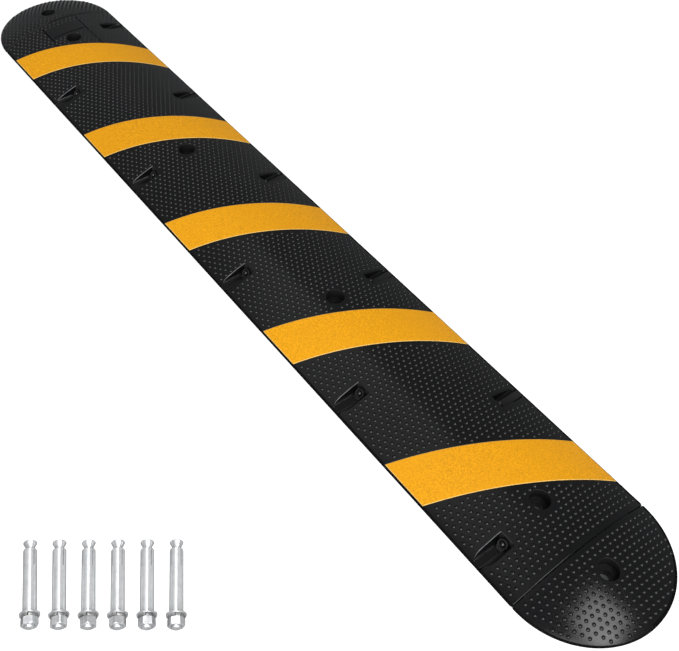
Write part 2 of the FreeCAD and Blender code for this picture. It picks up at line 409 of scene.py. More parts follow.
def rubber_paint(name, gloss_low, gloss_high, specular, dust_and_fill=0.0):
    """Moulded black rubber: fine grain, faint mottling, a few pale specks, and an even pale grey lift that is
    settled grime in part and painted fill light in part.
    """
    paint = Paint(name, IOR=1.5, Specular_IOR_Level=specular)
    broad = paint.noise(7.0, 5.0, 0.6)
    grain = paint.noise(620.0, 4.0, 0.6)
    fine = paint.noise(2600.0, 2.0, 0.5)
    flow = paint.noise(14.0, 4.0, 0.6, paint.stretched(1.0, 5.0, 1.0, 0.4))
    base = paint.ramp(broad, (0.30, (0.0022, 0.0022, 0.0024)), (0.70, (0.0036, 0.0036, 0.0041)))
    mottle = paint.ramp(grain, (0.35, 0.72), (0.68, 1.25))
    colour = paint.mix(1.0, base, mottle, "MULTIPLY")
    # pale grey mixed in evenly: settled grime in part, painted fill light in shaded hollows in part
    colour = paint.mix(dust_and_fill, colour, (0.26, 0.26, 0.262))
    specks = paint.ramp(paint.noise(300.0, 2.0, 0.5), (0.745, 0.0), (0.80, 1.0))
    colour = paint.mix(paint.math("MULTIPLY", specks, 0.5), colour, (0.050, 0.049, 0.047))
    polish = paint.span(flow, 0.3, 0.7, gloss_low, gloss_high)
    gloss = paint.math("ADD", polish, paint.span(grain, 0.3, 0.7, -0.02, 0.04))
    normal = paint.bump(fine, 0.06, 0.0002, paint.bump(grain, 0.26, 0.0003))
    return paint.wire(colour, gloss, normal)


def painted_rim_highlight_paint():
    """Paler rubber laid along a thin rim as a painted highlight line."""
    paint = Paint("black_rubber_painted_rim_highlight", Roughness=0.45, IOR=1.5, Specular_IOR_Level=0.3)
    rub = paint.noise(160.0, 3.0, 0.6)
    colour = paint.ramp(rub, (0.30, (0.030, 0.030, 0.031)), (0.65, (0.100, 0.100, 0.104)))
    return paint.wire(colour, paint.span(rub, 0.3, 0.7, 0.38, 0.52), paint.bump(rub, 0.1, 0.0002))


def film_paint(name, light, dark):
    """Yellow traffic film: fine beaded grain that shows more in some places than others."""
    paint = Paint(name, IOR=1.5, Specular_IOR_Level=0.22)
    beads = paint.cells(900.0)
    clumps = paint.noise(330.0, 3.0, 0.7)
    where = paint.ramp(paint.noise(6.0, 3.0, 0.5), (0.40, 0.45), (0.62, 1.0))
    drift = paint.noise(3.5, 3.0, 0.5)
    colour = paint.mix(drift, dark, light)
    grain = paint.ramp(paint.math("ADD", paint.math("MULTIPLY", beads, 0.25), clumps),
                       (0.42, 0.66), (0.82, 1.32))
    grained = paint.mix(1.0, colour, grain, "MULTIPLY")
    colour = paint.mix(where, colour, grained)
    specks = paint.ramp(paint.noise(170.0, 1.0, 0.5), (0.800, 0.0), (0.815, 1.0))
    colour = paint.mix(paint.math("MULTIPLY", specks, 0.8), colour, (0.10, 0.045, 0.008))
    gloss = paint.span(clumps, 0.3, 0.7, 0.42, 0.60)
    normal = paint.bump(beads, 0.18, 0.0002, paint.bump(clumps, 0.12, 0.0003))
    return paint.wire(colour, gloss, normal)


def zinc_paint(name, light, dark, rough_low, rough_high, metallic):
    """Bright zinc plate: drawn streaks along the metal, small stains, uneven polish."""
    paint = Paint(name, Metallic=metallic, Specular_Tint=(0.16, 0.16, 0.17, 1))
    stain = paint.noise(95.0, 4.0, 0.6)
    polish = paint.noise(420.0, 3.0, 0.6)
    drawn = paint.noise(1.0, 3.0, 0.6, paint.stretched(5.0, 240.0, 240.0, ANCHOR_HEADING))
    worn = paint.math("MULTIPLY", paint.math("ADD", stain, drawn), 0.5)
    colour = paint.mix(paint.span(worn, 0.40, 0.56, 0.0, 1.0), dark, light)
    colour = paint.mix(0.03, colour, paint.cells(260.0, "Color"), "OVERLAY")
    gloss = paint.span(polish, 0.3, 0.7, rough_low, rough_high)
    normal = paint.bump(polish, 0.02, 0.0001, paint.bump(drawn, 0.03, 0.0001))
    return paint.wire(colour, gloss, normal)


def glass_paint():
    """Smoky reflector glass with faint mould ripples."""
    paint = Paint("reflector_glass_smoky", IOR=1.52, Transmission_Weight=0.03)
    ripple = paint.noise(240.0, 2.0, 0.5)
    colour = paint.ramp(ripple, (0.3, (0.003, 0.0035, 0.0035)), (0.7, (0.006, 0.0065, 0.007)))
    gloss = paint.span(ripple, 0.3, 0.7, 0.03, 0.06)
    return paint.wire(colour, gloss, paint.bump(ripple, 0.08, 0.0003))


rubber = rubber_paint("black_rubber_moulded", 0.13, 0.19, 0.28)
rubber_edge = rubber_paint("black_rubber_trimmed_edge", 0.55, 0.70, 0.02)
# duller rubber for hole interiors and collars with a little pale grey: grime in part, painted fill light in part
rubber_core = rubber_paint("black_rubber_cored_hole", 0.50, 0.65, 0.18, 0.006)
rubber_stud = rubber_paint("black_rubber_rubbed_stud", 0.13, 0.19, 0.35)
# much pale grey mixed in: painted fill light for the shaded pocket walls
rubber_pocket_fill_light = rubber_paint("black_rubber_pocket_painted_fill", 0.50, 0.65, 0.18, 0.032)
# paler rubber for a thin pocket rim: a painted highlight line
rubber_rim_highlight = painted_rim_highlight_paint()
film = film_paint("yellow_film_beaded", (0.72, 0.318, 0.003), (0.615, 0.258, 0.002))
# paler film for a thin band round each strip's edge: a painted highlight
film_painted_edge_highlight = film_paint("yellow_film_edge", (0.76, 0.50, 0.15), (0.66, 0.40, 0.09))
zinc = zinc_paint("zinc_plate_bright", (0.86, 0.87, 0.88), (0.75, 0.76, 0.775), 0.20, 0.26, 0.64)
zinc_turned = zinc_paint("zinc_plate_turned", (0.86, 0.87, 0.88), (0.66, 0.67, 0.685), 0.27, 0.35, 0.80)
spring_steel = zinc_paint("spring_steel_plated", (0.50, 0.50, 0.49), (0.26, 0.26, 0.26), 0.24, 0.40, 0.8)
glass = glass_paint()
silver = zinc_paint("reflector_silvering", (0.88, 0.89, 0.90), (0.72, 0.74, 0.76), 0.10, 0.22, 1.0)


# ---- camera, light and floor ----
def direction(azimuth, elevation):
    """Unit vector towards an azimuth, 0 at -Y and 90 at +X, and an elevation, in degrees."""
    turn, rise = math.radians(azimuth), math.radians(elevation)
    return Vector((math.sin(turn) * math.cos(rise), -math.cos(turn) * math.cos(rise), math.sin(rise)))


VIEW_AZIMUTH = 54.734
VIEW_ELEVATION = 49.717
VIEW_ROLL = -0.522
VIEW_TARGET = Vector((0.2301, -0.0888, 0.0))
VIEW_DISTANCE = 1.8345
SENSOR = 36.0
LENS_PER_SENSOR = 1.38218
VIEW_SHIFT = (0.0795, -0.0128)

camera_data = bpy.data.cameras.new("camera")
camera_data.sensor_width = SENSOR
camera_data.lens = SENSOR * LENS_PER_SENSOR
camera_data.shift_x, camera_data.shift_y = VIEW_SHIFT
camera_data.clip_start = 0.05
camera_data.clip_end = 60.0
camera = bpy.data.objects.new("camera", camera_data)
bpy.context.scene.collection.objects.link(camera)
back = direction(VIEW_AZIMUTH, VIEW_ELEVATION)
right = Vector((math.cos(math.radians(VIEW_AZIMUTH)), math.sin(math.radians(VIEW_AZIMUTH)), 0))
upright = Matrix((right, back.cross(right), back)).transposed().to_4x4()
camera.matrix_world = (Matrix.Translation(VIEW_TARGET + back * VIEW_DISTANCE) @ upright
                       @ Matrix.Rotation(math.radians(VIEW_ROLL), 4, "Z"))
bpy.context.scene.camera = camera

FLOOR_HALF = 60000.0
FLOOR_DROP = 0.3           # keeps the floor clear of the rubber's flat underside
floor_corners = [(-FLOOR_HALF, -FLOOR_HALF), (FLOOR_HALF, -FLOOR_HALF),
                 (FLOOR_HALF, FLOOR_HALF), (-FLOOR_HALF, FLOOR_HALF)]
floor = make_object("floor", [(x, y, -FLOOR_DROP) for x, y in floor_corners], [(0, 1, 2, 3)])
floor_paint = Paint("studio_floor", Roughness=0.9, Specular_IOR_Level=0.1)
paper = floor_paint.noise(3.0, 2.0, 0.5)
floor.data.materials.append(floor_paint.wire(floor_paint.ramp(paper, (0.3, 0.89), (0.7, 0.91))))
floor.visible_glossy = False     # so that no white floor is mirrored in the rims

all_but_floor = bpy.data.collections.new("all_but_floor")
all_but_floor.objects.link(floor)
all_but_floor.collection_objects[0].light_linking.link_state = "EXCLUDE"
floor_only = bpy.data.collections.new("floor_only")
floor_only.objects.link(floor)
rubber_pieces = bpy.data.collections.new("rubber_pieces")
loose_anchors = bpy.data.collections.new("loose_anchors")
MIDDLE = Vector((0.35, -0.15, 0.0))


def softbox(name, azimuth, elevation, distance, width, height, radiance, receivers, blockers=None):
    """Rectangular soft light aimed at the middle, in metres; radiance in scene units."""
    data = bpy.data.lights.new(name, "AREA")
    data.shape = "RECTANGLE"
    data.size = width
    data.size_y = height
    data.energy = radiance * math.pi * width * height
    lamp = bpy.data.objects.new(name, data)
    bpy.context.scene.collection.objects.link(lamp)
    towards = direction(azimuth, elevation)
    lamp.matrix_world = (Matrix.Translation(MIDDLE + towards * distance)
                         @ towards.to_track_quat("Z", "Y").to_matrix().to_4x4())
    lamp.light_linking.receiver_collection = receivers
    if blockers:
        lamp.light_linking.blocker_collection = blockers


softbox("key", 62, 35, 16.0, 17.0, 17.0, 4.05, all_but_floor)
softbox("left_flank", 2, 21, 8.0, 5.4, 5.4, 4.5, rubber_pieces)
softbox("floor_key", 78, 41, 16.0, 6.0, 6.0, 40.0, floor_only, rubber_pieces)
softbox("near_end", 102, 57, 4.0, 1.6, 1.6, 7.2, all_but_floor)
softbox("far_side", -80, 68, 4.0, 3.0, 2.4, 0.50, all_but_floor)
softbox("anchor_strip", 235, 50, 5.0, 1.2, 4.0, 3.6, loose_anchors)

world = bpy.data.worlds.new("studio")
bpy.context.scene.world = world
world.use_nodes = True
world.node_tree.nodes["Background"].inputs["Color"].default_value = (0.96, 0.98, 1.0, 1)
world.node_tree.nodes["Background"].inputs["Strength"].default_value = 0.31
bpy.context.scene.view_settings.view_transform = "Standard"


# ---- rubber body ----
def crowned_bar():
    """The plain bar: crowned top with a rounded rim and corners, upright lips, flat below."""
    steps = [distance for distance, _ in rounding(RIM_ROUND, 4)] + [2.4, 3.4, BODY_CORNER]
    rows = [HALF_WIDTH - step for step in steps]
    middle_rows = 92
    reach = HALF_WIDTH - BODY_CORNER
    rows += [reach * (1 - 2 * row / middle_rows) for row in range(1, middle_rows)]
    rows += [-row for row in reversed(rows[:len(steps)])]
    points, grid = [], []
    for y in rows:
        past_y = max(abs(y) - reach, 0)
        end = BODY_END - BODY_CORNER + math.sqrt(BODY_CORNER ** 2 - past_y ** 2)
        line = [end - step for step in steps]
        line += [-x for x in reversed(line)]
        grid.append(range(len(points), len(points) + len(line)))
        for x in line:
            past_x = max(abs(x) - BODY_END + BODY_CORNER, 0)
            if past_x and past_y:
                distance = BODY_CORNER - math.hypot(past_x, past_y)
            else:
                distance = min(BODY_END - abs(x), HALF_WIDTH - abs(y))
            points.append((x, y, crown(y) - rim_drop(distance)))
    faces = []
    for upper, lower in zip(grid, grid[1:]):
        for index in range(len(upper) - 1):
            faces.append((upper[index], upper[index + 1], lower[index + 1], lower[index]))
    outline = list(grid[0]) + [line[-1] for line in grid[1:-1]]
    outline += list(reversed(grid[-1])) + [line[0] for line in reversed(grid[1:-1])]
    foot = range(len(points), len(points) + len(outline))
    points += [(points[index][0], points[index][1], 0.0) for index in outline]
    for index in range(len(outline)):
        after = (index + 1) % len(outline)
        faces.append((outline[index], foot[index], foot[after], outline[after]))
    faces.append(tuple(foot))
    return make_object("rubber_body", points, faces)


FLARE = 0.9                # radius of the rounded rim that a cutter leaves
FLARE_STEPS = (0, 25, 50, 75)


def flare():
    """(outward, up from the surface) of a cutter's edge that leaves a rounded rim."""
    points = []
    for step in FLARE_STEPS:
        angle = math.radians(step)
        points.append((FLARE * (1 - math.cos(angle)), FLARE * (math.sin(angle) - 1)))
    points.append((FLARE * 1.35, FLARE * 0.13))
    return points


def hole_cutter(x_centre):
    """Bore, seat and rounded rim of an anchor hole."""
    segments = 72
    levels = [(BORE_RADIUS, -2.0), (BORE_RADIUS, SEAT_FLOOR - 0.5), (BORE_RADIUS + 0.5, SEAT_FLOOR),
              (SEAT_RADIUS - 1.0, SEAT_FLOOR), (SEAT_RADIUS - 0.3, SEAT_FLOOR + 0.3),
              (SEAT_RADIUS, SEAT_FLOOR + 1.0)]
    rings = []
    circle = [2 * math.pi * index / segments for index in range(segments)]
    for radius, z in levels:
        rings.append([(x_centre + radius * math.cos(a), radius * math.sin(a), z) for a in circle])
    for out, up in flare():
        ring = []
        for a in circle:
            x, y = x_centre + (SEAT_RADIUS + out) * math.cos(a), (SEAT_RADIUS + out) * math.sin(a)
            ring.append((x, y, top_z(x, y) + up))
        rings.append(ring)
    rings.append([(x, y, CUT_TOP) for x, y, _ in rings[-1]])
    return loft(rings)


def pocket_place(x, side):
    turn = Matrix.Rotation(math.pi if side > 0 else 0.0, 4, "Z")
    return Matrix.Translation((x, 0, 0)) @ turn


def trough_section(y, inset, lowest, soft):
    """Half of a pocket's cross-section: round-sided, and flared where it meets the crown."""
    half = POCKET_WIDTH / 2 - inset
    floor_z = max(POCKET_FLOOR + inset, lowest)
    rim = max(crown(min(-y, HALF_WIDTH)), floor_z + 0.3)
    rim_start = max(rim - FLARE * soft, floor_z + 0.2)
    side = []
    for step in range(10):
        angle = math.radians(10 * step)
        height = POCKET_FLOOR + inset + POCKET_SIDE_ROUND * (1 - math.cos(angle))
        side.append([half - POCKET_SIDE_ROUND * (1 - math.sin(angle)), max(height, floor_z)])
    height_cut = [min(z, rim_start - 0.01 * (10 - index)) for index, (_, z) in enumerate(side)]
    section = []
    for (across, z), cut in zip(side, height_cut):
        if z > cut:
            above = max(min(cut - POCKET_FLOOR - inset, POCKET_SIDE_ROUND), 0)
            swing = math.sqrt(max(POCKET_SIDE_ROUND ** 2 - (POCKET_SIDE_ROUND - above) ** 2, 0))
            across = half - POCKET_SIDE_ROUND + swing
        section.append((across, min(z, cut)))
    edge = section[-1][0]
    for out, up in flare():
        section.append((edge + out * soft, rim + up * soft))
    section.append((edge + FLARE * 1.4 * soft, CUT_TOP))
    return section


def pocket_cutter(x, side):
    """Space of one pocket, from its back wall out through the lip."""
    stations = [(-HALF_WIDTH - 5 + step * (HALF_WIDTH + 5 - POCKET_WALL - POCKET_BACK_ROUND) / 36, 0, 0)
                for step in range(37)]
    for step in (1, 2, 3, 4):
        angle = math.radians(90 * step / 4)
        stations.append((-POCKET_WALL - POCKET_BACK_ROUND * (1 - math.sin(angle)),
                         POCKET_BACK_ROUND * (1 - math.cos(angle)), 0))
    for out, up in flare()[1:]:
        y = -POCKET_WALL + out * 0.6
        stations.append((y, POCKET_BACK_ROUND, crown(y) + up * 0.6))
    place = pocket_place(x, side)
    rings = []
    for y, inset, lowest in stations:
        crisp = trough_section(y, inset, lowest, POCKET_CRISP_RIM)
        soft = trough_section(y, inset, lowest, POCKET_SOFT_RIM)
        ring = [place @ Vector((-across, y, z)) for across, z in reversed(crisp)]
        ring += [place @ Vector((across, y, z)) for across, z in soft]
        rings.append(ring)
    return loft(rings)


def collar_place(x, side):
    """Frame of a collar: its origin in the middle of its face, and Z out of the face."""
    axis = Vector((0, -math.cos(COLLAR_TILT), math.sin(COLLAR_TILT)))
    low, high = box_mm(next(name for name, px, ps in pockets if px == x and ps == side))
    centre = (low + high) / 2
    turned = pocket_place(0, side).to_3x3() @ axis
    face = centre + turned * COLLAR_DISH
    return Matrix.Translation(face) @ turned.to_track_quat("Z", "Y").to_matrix().to_4x4()


def collar(x, side):
    profile = [(-COLLAR_LENGTH, 0), (-COLLAR_LENGTH, COLLAR_RADIUS),
               (-0.9, COLLAR_RADIUS), (-0.35, COLLAR_RADIUS - 0.2),
               (0, COLLAR_RADIUS - 0.8), (0, DISH_RADIUS + 0.5), (-0.2, DISH_RADIUS),
               (-COLLAR_DISH, BEAD_RADIUS + 0.3), (-COLLAR_DISH - SOCKET_DEPTH, BEAD_RADIUS - SOCKET_TAPER),
               (-COLLAR_DISH - SOCKET_DEPTH, 0)]
    return lathe(profile, collar_place(x, side), 48)


def skirt(x, side):
    """Round post under the collar, cut off by the plane of the dish."""
    radius = COLLAR_RADIUS - 1
    place = pocket_place(x, side)
    lean = math.tan(math.pi / 2 - COLLAR_TILT)
    plane_y = -COLLAR_FACE_Y + COLLAR_DISH * math.cos(COLLAR_TILT)
    plane_z = COLLAR_FACE_Z - COLLAR_DISH * math.sin(COLLAR_TILT)
    low_ring, high_ring = [], []
    for index in range(40):
        angle = 2 * math.pi * index / 40
        px, py = radius * math.cos(angle), 1 - COLLAR_FACE_Y + radius * math.sin(angle)
        top = min(plane_z + (py - plane_y) * lean, 21.0)
        low_ring.append(place @ Vector((px, py, 4.5)))
        high_ring.append(place @ Vector((px, py, max(top, 5.0))))
    return loft([low_ring, high_ring])


def bead_seat(x, side):
    """Room for the bead and the dish in front of it."""
    depth = COLLAR_DISH + SOCKET_DEPTH - 0.1
    profile = [(-depth, 0), (-depth, BEAD_RADIUS - SOCKET_TAPER), (-COLLAR_DISH, BEAD_RADIUS + 0.3),
               (-0.2, DISH_RADIUS), (3.0, 8.5), (3.0, 0)]
    return lathe(profile, collar_place(x, side), 48)


FILM_EDGE = ((0, -0.15), (0.15, 0.05), (0.45, 0.24), (0.9, 0.36), (1.4, STRIP_PROUD))
FILM_SOFT = [distance for distance, _ in FILM_EDGE]
FILM_FLAT = FILM_SOFT[-1]


def strip_stations():
    """(Y, distance from the strip's end) along a strip."""
    stations = [(-STRIP_END + distance, distance) for distance in FILM_SOFT]
    inner = STRIP_END - FILM_FLAT
    for step in range(1, STRIP_ROWS):
        stations.append((-inner + 2 * inner * step / STRIP_ROWS, FILM_FLAT))
    return stations + [(STRIP_END - distance, distance) for distance in reversed(FILM_SOFT)]


def recess_cutter(x_centre):
    rings = []
    half = STRIP_WIDTH / 2 + STRIP_GAP
    reach = STRIP_END + STRIP_GAP
    for step in range(STRIP_ROWS + 1):
        y = -reach + 2 * reach * step / STRIP_ROWS
        x = x_centre + STRIP_SLANT * y
        z = crown(y)
        rings.append([(x - half, y, z - STRIP_SUNK), (x + half, y, z - STRIP_SUNK),
                      (x + half, y, z - 0.25), (x + half + 0.4, y, z + 0.1), (x + half + 0.4, y, z + 9),
                      (x - half - 0.4, y, z + 9), (x - half - 0.4, y, z + 0.1), (x - half, y, z - 0.25)])
    return loft(rings)


def underside_cells():
    cells = []
    columns = int(2 * (BODY_END + SEAM_HALF_GAP) / CELL_PITCH_X)
    for column in range(columns):
        x = (column - (columns - 1) / 2) * CELL_PITCH_X
        for row in range(CELL_ROWS):
            y = (row - (CELL_ROWS - 1) / 2) * CELL_PITCH_Y
            half_x, half_y = (CELL_PITCH_X - CELL_RIB_X) / 2, (CELL_PITCH_Y - CELL_RIB_Y) / 2
            reach = min(math.hypot(max(abs(x - hole) - half_x, 0), max(abs(y) - half_y, 0))
                        for hole in hole_x)
            if reach <= CELL_CLEARANCE:
                continue
            rings = []
            for z, inset, soft in ((-1.0, 0.0, 2.0), (CELL_DEPTH - 1.2, 0.0, 2.0), (CELL_DEPTH, 1.2, 1.2)):
                ring = []
                for sx, sy, start in ((1, 1, 0), (-1, 1, 90), (-1, -1, 180), (1, -1, 270)):
                    for turn in (0, 45, 90):
                        angle = math.radians(start + turn)
                        ring.append((x + sx * (half_x - inset - soft) + soft * math.cos(angle),
                                     y + sy * (half_y - inset - soft) + soft * math.sin(angle), z))
                rings.append(ring)
            cells.append(loft(rings))
    return cells


def smooth_pad():
    """Low smooth pad with rounded corners and a softened edge, between the last hole and the seam."""
    half_x, half_y = PAD_LENGTH / 2, PAD_WIDTH / 2
    rows = [half_y - distance for distance in (0, 0.1, 0.3, 0.6, 1, 1.6, 2.4, 3.4, 4.6, PAD_CORNER)]
    rows += [(half_y - PAD_CORNER) * (1 - step / 14) for step in range(1, 15)]
    rows += [-y for y in reversed(rows[:-1])]
    rings = []
    for y in rows:
        past = max(abs(y) - half_y + PAD_CORNER, 0)
        half = half_x - PAD_CORNER + math.sqrt(PAD_CORNER ** 2 - past ** 2)
        across = [half - distance for distance in (0, 0.1, 0.3, 0.6, 1.2, 4)]
        across += [0] + [-x for x in reversed(across)]
        ring = [(PAD_CENTRE + half, y, crown(y) - 2), (PAD_CENTRE - half, y, crown(y) - 2)]
        for x in reversed(across):
            inward = min(half - abs(x), half_y - abs(y))
            ring.append((PAD_CENTRE + x, y, crown(y) + PAD_RAISE - 0.5 * max(1 - inward / 0.6, 0) ** 2))
        rings.append(ring)
    return loft(rings)


def on_pad(x, y, margin):
    return abs(x - PAD_CENTRE) < PAD_LENGTH / 2 + margin and abs(y) < PAD_WIDTH / 2 + margin


def stud_shell(x, y):
    """One low round stud, standing on the top surface and sunk a little into it."""
    normal = top_normal(x, y)
    side = normal.orthogonal().normalized()
    upright = Matrix((side, normal.cross(side), normal)).transposed().to_4x4()
    place = Matrix.Translation((x, y, top_z(x, y))) @ upright
    profile = [(-STUD_SUNK, STUD_RADIUS)]
    for slope in STUD_SLOPES:
        bend = math.radians(slope)
        profile.append((STUD_HEIGHT - STUD_CURVE * (1 - math.cos(bend)), STUD_CURVE * math.sin(bend)))
    points, faces = lathe(profile + [(STUD_HEIGHT, 0)], place, STUD_SEGMENTS)
    return points, [tuple(reversed(range(STUD_SEGMENTS)))] + faces


HOLE_MARGIN = 22.5         # studs keep this far from a hole's middle, and the other margins
BAND_MARGIN = 7.0          # from the edges of a strip, a pocket and the outline
POCKET_MARGIN = 5.0
EDGE_MARGIN = 6.0
BODY_LATTICE = 857.6       # X of one column of the body's studs


def body_stud_places():
    places = []
    columns = int(BODY_END / STUD_COLUMN) + 2
    for column in range(-2 * columns, columns):
        x = BODY_LATTICE + column * STUD_COLUMN
        if abs(x) > BODY_END - EDGE_MARGIN:
            continue
        shift = 0.5 * (column % 2)
        for row in range(-14, 15):
            y = (row + shift) * STUD_PITCH
            if abs(y) > HALF_WIDTH - EDGE_MARGIN:
                continue
            if any(math.hypot(x - hole, y) < HOLE_MARGIN for hole in hole_x):
                continue
            if any(abs(x - centre - STRIP_SLANT * y) < STRIP_WIDTH / 2 + BAND_MARGIN for _, centre in strips):
                continue
            if any(abs(x - px) < POCKET_WIDTH / 2 + POCKET_MARGIN and y * side > POCKET_WALL - POCKET_MARGIN
                   for _, px, side in pockets):
                continue
            if on_pad(x, y, 3.5):
                continue
            places.append((x, y))
    return places


def build_body():
    body = crowned_bar()
    combine(body, "UNION", [smooth_pad()])
    combine(body, "DIFFERENCE", [recess_cutter(centre) for _, centre in strips])
    cutters = [hole_cutter(x) for x in hole_x]
    cutters += [pocket_cutter(x, side) for _, x, side in pockets]
    combine(body, "DIFFERENCE", cutters + underside_cells())
    combine(body, "UNION", [collar(x, side) for _, x, side in pockets])
    combine(body, "UNION", [skirt(x, side) for _, x, side in pockets])
    combine(body, "DIFFERENCE", [bead_seat(x, side) for _, x, side in pockets])
    add_shells(body, [stud_shell(x, y) for x, y in body_stud_places()])
    return body


def side_rim(x, y, z):
    """True on the thin rim of the -X side of a pocket in the body's -Y half, which takes a painted highlight line.
    """
    for _, px, side in pockets:
        if side < 0 and abs(x - px) < POCKET_WIDTH and -y > POCKET_WALL - 0.5:
            top = crown(min(-y, HALF_WIDTH))
            rise = min(max(top - POCKET_FLOOR, 0), POCKET_SIDE_ROUND)
            swing = math.sqrt(POCKET_SIDE_ROUND ** 2 - (POCKET_SIDE_ROUND - rise) ** 2)
            outside = px - POCKET_WIDTH / 2 + POCKET_SIDE_ROUND - swing - x
            return -0.3 < outside < 1.0 and 0.02 < top - z < 1.6
    return False


WALL_START = {-1: 3, 1: -7}     # X from a pocket's middle where its side with painted fill light begins


def pocket_wall(x, y, z):
    """True on the back wall and the +X side wall of a pocket, the walls in shade that take painted fill light."""
    for _, px, side in pockets:
        if abs(x - px) < POCKET_WIDTH / 2 + 0.2 and y * side > POCKET_WALL - 0.3:
            if z < crown(min(abs(y), HALF_WIDTH)) - 0.8:
                return x - px > WALL_START[side] or y * side < POCKET_WALL + POCKET_BACK_ROUND
    return False


collar_faces = [collar_place(x, side).translation for _, x, side in pockets]
rubbers = [rubber, rubber_edge, rubber_core, rubber_rim_highlight, rubber_stud, rubber_pocket_fill_light]
EDGE, CORE, RIM_HIGHLIGHT, STUD, POCKET_FILL_LIGHT = range(1, len(rubbers))
FRONT_BAND = 1.2           # how far the trimmed edge reaches above the lip, on the -Y side
BACK_BAND = 2.8


def paint_faces(piece, holes):
    """Lip, holes, collars and pocket walls are duller than the top. Holes and collars are a touch paler, part
    grime and part painted fill light; the shaded pocket walls are paler as painted fill light, and some rims paler
    as a painted highlight line.
    """
    for face in piece.data.polygons:
        centre = face.center / MM
        margin = FRONT_BAND if centre.y < 0 else BACK_BAND
        if abs(face.normal.z) < 0.965 and centre.z < LIP_HEIGHT + margin:
            face.material_index = EDGE
        elif on_pad(centre.x, centre.y, 0.4) and not on_pad(centre.x, centre.y, -0.9):
            face.material_index = EDGE
        # the -X rim of a pocket in the -Y half: paler rubber as a painted highlight line
        elif side_rim(centre.x, centre.y, centre.z):
            face.material_index = RIM_HIGHLIGHT
        # back and +X walls of a pocket, in shade: paler rubber as painted fill light
        elif pocket_wall(centre.x, centre.y, centre.z):
            face.material_index = POCKET_FILL_LIGHT
        elif centre.z > top_z(centre.x, centre.y) + 0.05 and not on_pad(centre.x, centre.y, 0.5):
            face.material_index = STUD
        if any((centre - face_middle).length < 1.3 * COLLAR_RADIUS for face_middle in collar_faces):
            face.material_index = CORE
        for hole in holes:
            inside = math.hypot(centre.x - hole, centre.y) < SEAT_RADIUS + 1.4 * FLARE
            if inside and centre.z < top_z(centre.x, centre.y) - 0.02:
                face.material_index = CORE


body = finish_piece(build_body(), "bump", rubbers, "bump_body")
paint_faces(body, hole_x)
rubber_pieces.objects.link(body)


# ---- end caps ----
def dome():
    """A little over half of a crowned disc, about the middle of the seam line."""
    segments = 150
    sweep = math.radians(97)
    radii = [7.0 * step for step in range(1, 21)] + [144.5]
    radii += [HALF_WIDTH - distance for distance, _ in reversed(rounding(RIM_ROUND, 4))]
    points = [(CAP_START, 0, HEIGHT)]
    rings = []
    for radius in radii:
        rings.append(range(len(points), len(points) + segments + 1))
        z = crown(radius) - rim_drop(HALF_WIDTH - radius)
        for step in range(segments + 1):
            angle = sweep * (2 * step / segments - 1)
            points.append((CAP_START + radius * math.cos(angle), radius * math.sin(angle), z))
    foot = range(len(points), len(points) + segments + 1)
    points += [(points[index][0], points[index][1], 0.0) for index in rings[-1]]
    middle = len(points)
    points.append((CAP_START, 0, 0.0))
    faces = [(0, rings[0][step], rings[0][step + 1]) for step in range(segments)]
    for inner, outer in zip(rings, rings[1:]):
        for step in range(segments):
            faces.append((inner[step], outer[step], outer[step + 1], inner[step + 1]))
    for step in range(segments):
        faces.append((rings[-1][step], foot[step], foot[step + 1], rings[-1][step + 1]))
    faces.append(tuple(foot) + (middle,))
    for side in (0, -1):
        faces.append((0, middle, foot[side]) + tuple(ring[side] for ring in reversed(rings)))
    return points, faces


def seam_cutter():
    """Everything beyond the seam face, with a rounded top edge and rounded corners."""
    reach = HALF_WIDTH + 3
    straight = HALF_WIDTH - CAP_CORNER
    rows = [-reach, -HALF_WIDTH]
    rows += [-straight - CAP_CORNER * math.cos(math.radians(a)) for a in (18, 36, 54, 72)]
    rows += [straight * (2 * step / 90 - 1) for step in range(91)]
    rows += [-y for y in reversed(rows[:6])]
    rings = []
    for y in rows:
        past = min(max(abs(y) - straight, 0), CAP_CORNER)
        x = CAP_START + CAP_CORNER - math.sqrt(CAP_CORNER ** 2 - past ** 2)
        z = crown(min(abs(y), HALF_WIDTH))
        ring = [(CAP_START - 40, y, -3), (x, y, -3)]
        for out, up in flare():
            ring.append((x + out * 1.5, y, z + up * 1.5))
        ring += [(x + 2.2, y, CUT_TOP), (CAP_START - 40, y, CUT_TOP)]
        rings.append(ring)
    return loft(rings)


CAP_LATTICE = 936.0        # X of one column of a cap's studs


def cap_stud_places():
    places = []
    for column in range(-3, 14):
        x = CAP_LATTICE + column * STUD_COLUMN
        for row in range(-14, 15):
            y = (row + 0.5 * (column % 2)) * STUD_PITCH
            if x < CAP_START + EDGE_MARGIN or math.hypot(x - CAP_START, y) > HALF_WIDTH - EDGE_MARGIN:
                continue
            if math.hypot(x - cap_hole_x, y) > HOLE_MARGIN:
                places.append((x, y))
    return places


def build_cap(name, turn):
    cap = make_object(name, *dome())
    combine(cap, "DIFFERENCE", [seam_cutter()])
    combine(cap, "DIFFERENCE", [hole_cutter(cap_hole_x)])
    add_shells(cap, [stud_shell(x, y) for x, y in cap_stud_places()])
    cap.data.transform(Matrix.Rotation(turn, 4, "Z"))
    return cap


for name, turn, body_name, node in (("rubber_cap_near", 0.0, "near_cap", "end_cap_near"),
                                    ("rubber_cap_far", math.pi, "far_cap", "end_cap_far")):
    cap = build_cap(name, turn)
    finish_piece(cap, body_name, rubbers, node)
    paint_faces(cap, [cap_hole_x * math.cos(turn)])
    rubber_pieces.objects.link(cap)


# ---- yellow strips ----
FILM_HIGHLIGHT_WIDTH = 0.95           # width of the paler band along a strip's edge, a painted highlight


def film_height(distance):
    """Height of the film over the crown, at a distance in from its edge."""
    for (near, low), (far, high) in zip(FILM_EDGE, FILM_EDGE[1:]):
        if distance <= far:
            return low + (high - low) * (distance - near) / (far - near)
    return STRIP_PROUD


